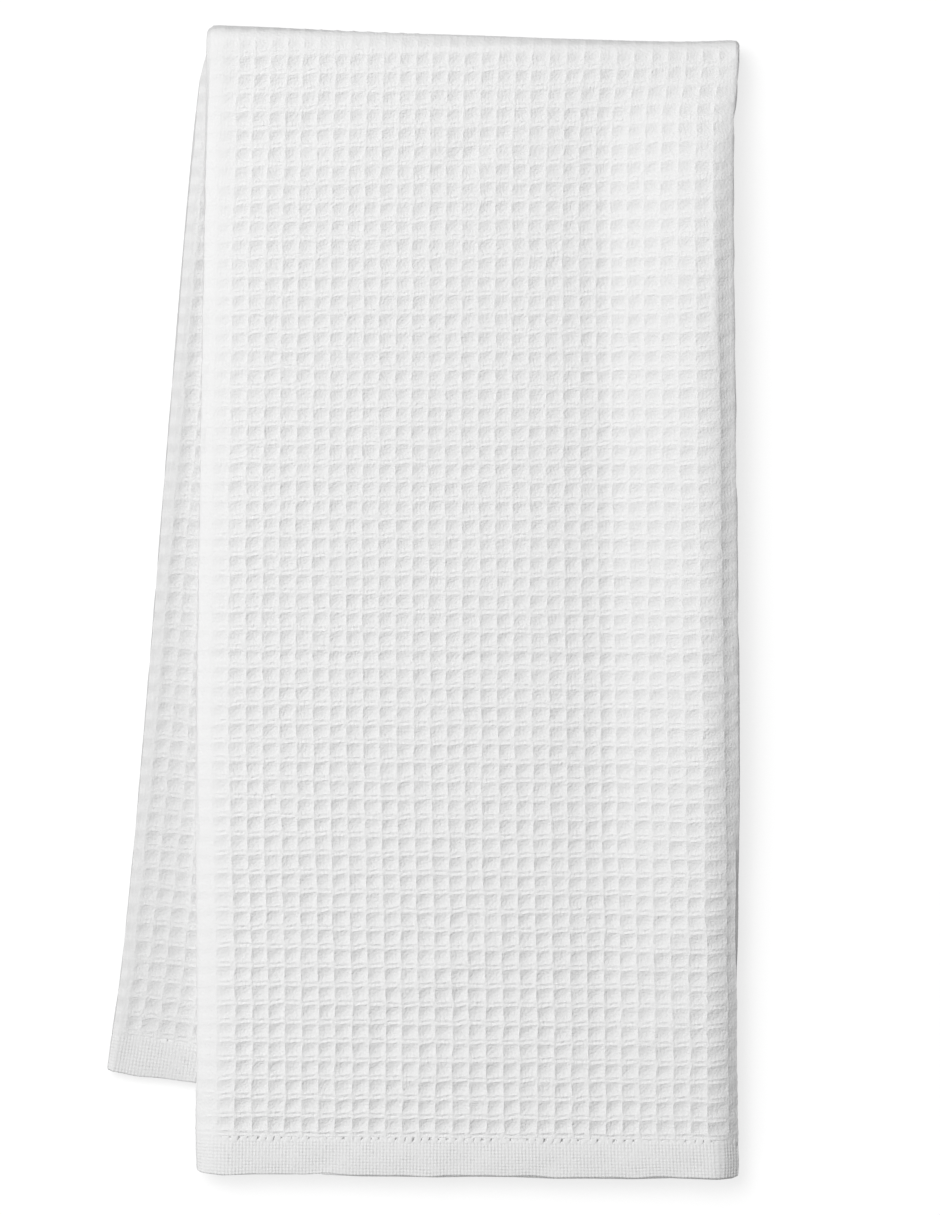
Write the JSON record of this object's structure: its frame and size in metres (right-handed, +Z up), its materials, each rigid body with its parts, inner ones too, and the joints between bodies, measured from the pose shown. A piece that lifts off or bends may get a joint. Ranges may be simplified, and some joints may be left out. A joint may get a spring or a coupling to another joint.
{
  "type": "dish towel",
  "caption": "White waffle-weave cotton dish towel with flat stitched hems, folded lengthwise and then over on itself, lying flat, for drying dishes.",
  "frame": {"origin": "centre of the bounding box in plan, on the surface the towel lies on", "axes": "+Z up from that surface, +Y along the towel's length towards the cross fold, +X to the right seen from above"},
  "size_m": [0.2176, 0.3984, 0.0161],
  "materials": {
    "cotton": "matte waffle-weave cotton"
  },
  "bodies": {
    "root": {"towel": "cotton"}
  },
  "joints": []
}
